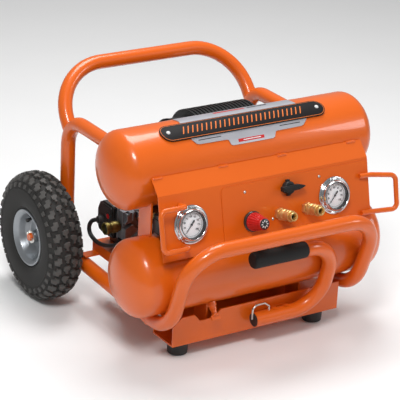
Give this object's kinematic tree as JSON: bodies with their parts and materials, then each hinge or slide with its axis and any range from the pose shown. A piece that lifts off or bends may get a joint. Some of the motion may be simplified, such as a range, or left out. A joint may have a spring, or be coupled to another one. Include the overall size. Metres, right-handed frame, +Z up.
{
  "type": "portable air compressor",
  "caption": "Wheeled air compressor with stacked tanks, a front control panel with gauges and hose outlets, a tube frame, a push handle and a folding lift handle.",
  "frame": {"origin": "on the ground, below the middle of the bounding box", "axes": "+X along the tanks towards the right end seen from the panel, +Y towards the rear where the wheels and the push handle are, +Z up"},
  "size_m": [0.6392, 0.6212, 0.4745],
  "materials": {
    "orange_paint": "gloss",
    "tyre_rubber": "matt",
    "black_rubber": "matt",
    "black_foam": "matt foam",
    "black_plastic": "matt",
    "red_plastic": "satin",
    "chrome": "polished",
    "rim_steel": "silver paint",
    "zinc_steel": "zinc plated",
    "brass": "bright",
    "copper": "bright copper",
    "cast_aluminium": "as cast",
    "black_enamel": "satin",
    "black_casting": "black paint",
    "silver_sheet": "satin",
    "dial_white": "printed",
    "clear_lens": "clear"
  },
  "bodies": {
    "machine": {"axle_washer_left": "zinc_steel", "axle_washer_right": "zinc_steel", "control_panel": "orange_paint", "cord_hook_left": "orange_paint", "cord_hook_right": "orange_paint", "coupler_left_body": "brass", "coupler_right_body": "brass", "cylinder_head": "cast_aluminium", "deck_plate": "orange_paint", "discharge_tube": "copper", "drain_valve": "orange_paint", "foot_left": "black_rubber", "foot_right": "black_rubber", "frame_tube_left": "orange_paint", "frame_tube_right": "orange_paint", "front_channel": "orange_paint", "front_hoop": "orange_paint", "gauge_left_case": "chrome", "gauge_left_dial": "dial_white", "gauge_left_lens": "clear_lens", "gauge_right_case": "chrome", "gauge_right_dial": "dial_white", "gauge_right_lens": "clear_lens", "intake_fitting": "brass", "lift_bracket": "orange_paint", "lower_tank": "orange_paint", "motor_body": "black_enamel", "motor_lead": "black_rubber", "name_plate": "black_enamel", "name_plate_backing": "silver_sheet", "panel_cover": "orange_paint", "pressure_switch": "black_plastic", "pump_crankcase": "black_casting", "pump_shroud": "black_plastic", "rear_handle": "orange_paint", "regulator_body": "brass", "rotary_switch": "black_plastic", "safety_valve": "brass", "tank_saddle": "orange_paint", "tank_strut_left": "orange_paint", "tank_strut_right": "orange_paint", "upper_tank": "orange_paint"},
    "left_wheel": {"tyre_left": "tyre_rubber", "rim_left": "rim_steel"},
    "right_wheel": {"tyre_right": "tyre_rubber", "rim_right": "rim_steel"},
    "rotor": {"motor_rotor": "cast_aluminium"},
    "left_needle": {"gauge_left_needle": "black_enamel"},
    "right_needle": {"gauge_right_needle": "black_enamel"},
    "regulator_cap": {"regulator_knob": "red_plastic"},
    "switch_cap": {"switch_knob": "black_plastic"},
    "left_sleeve": {"coupler_left_sleeve": "brass"},
    "right_sleeve": {"coupler_right_sleeve": "brass"},
    "valve_ring": {"safety_ring": "zinc_steel"},
    "drain_cap": {"drain_knob": "orange_paint"},
    "reset_cap": {"reset_button": "red_plastic"},
    "folding_handle": {"lift_handle": "orange_paint", "foam_grip": "black_foam"},
    "snap_pin": {"lock_pin": "zinc_steel"}
  },
  "joints": [
    {"name": "left_wheel_turn", "type": "hinge", "parent": "machine", "child": "left_wheel", "pos_m": [-0.279, 0.1766, 0.134], "axis": [1, 0, 0], "continuous": true},
    {"name": "right_wheel_turn", "type": "hinge", "parent": "machine", "child": "right_wheel", "pos_m": [0.279, 0.1766, 0.134], "axis": [1, 0, 0], "continuous": true},
    {"name": "rotor_turn", "type": "hinge", "parent": "machine", "child": "rotor", "pos_m": [0, 0.0696, 0.232], "axis": [1, 0, 0], "continuous": true},
    {"name": "left_needle_turn", "type": "hinge", "parent": "machine", "child": "left_needle", "pos_m": [-0.177, -0.2282, 0.2946], "axis": [0, -0.9733, 0.2295], "range_deg": [-270, 0], "stiffness_Nm_per_rad": 0.0001, "springref_deg": 28.65},
    {"name": "right_needle_turn", "type": "hinge", "parent": "machine", "child": "right_needle", "pos_m": [0.156, -0.2297, 0.2949], "axis": [0, -0.9733, 0.2295], "range_deg": [-270, 0], "stiffness_Nm_per_rad": 0.0001, "springref_deg": 28.65},
    {"name": "regulator_turn", "type": "hinge", "parent": "machine", "child": "regulator_cap", "pos_m": [-0.04, -0.2338, 0.2774], "axis": [0, -0.9733, 0.2295], "range_deg": [-720, 0]},
    {"name": "switch_turn", "type": "hinge", "parent": "machine", "child": "switch_cap", "pos_m": [0.046, -0.2219, 0.328], "axis": [0, -0.9733, 0.2295], "range_deg": [0, 90]},
    {"name": "left_sleeve_slide", "type": "slide", "parent": "machine", "child": "left_sleeve", "axis": [0, -0.9733, 0.2295], "range_m": [-0.005, 0], "stiffness_N_per_m": 300, "springref_m": 0.002},
    {"name": "right_sleeve_slide", "type": "slide", "parent": "machine", "child": "right_sleeve", "axis": [0, -0.9733, 0.2295], "range_m": [-0.005, 0], "stiffness_N_per_m": 300, "springref_m": 0.002},
    {"name": "valve_ring_pull", "type": "slide", "parent": "machine", "child": "valve_ring", "axis": [0, 0, 1], "range_m": [0, 0.003], "stiffness_N_per_m": 300, "springref_m": -0.002},
    {"name": "drain_turn", "type": "hinge", "parent": "machine", "child": "drain_cap", "pos_m": [-0.112, -0.2281, 0.0939], "axis": [0, -0.6018, -0.7986], "range_deg": [0, 360]},
    {"name": "reset_push", "type": "slide", "parent": "machine", "child": "reset_cap", "axis": [1, 0, 0], "range_m": [0, 0.003], "stiffness_N_per_m": 300, "springref_m": -0.001},
    {"name": "folding_handle_turn", "type": "hinge", "parent": "machine", "child": "folding_handle", "pos_m": [0, -0.2314, 0.061], "axis": [1, 0, 0], "range_deg": [0, 80]},
    {"name": "snap_pin_pull", "type": "slide", "parent": "folding_handle", "child": "snap_pin", "axis": [0, 0, 1], "range_m": [0, 0.02]}
  ]
}
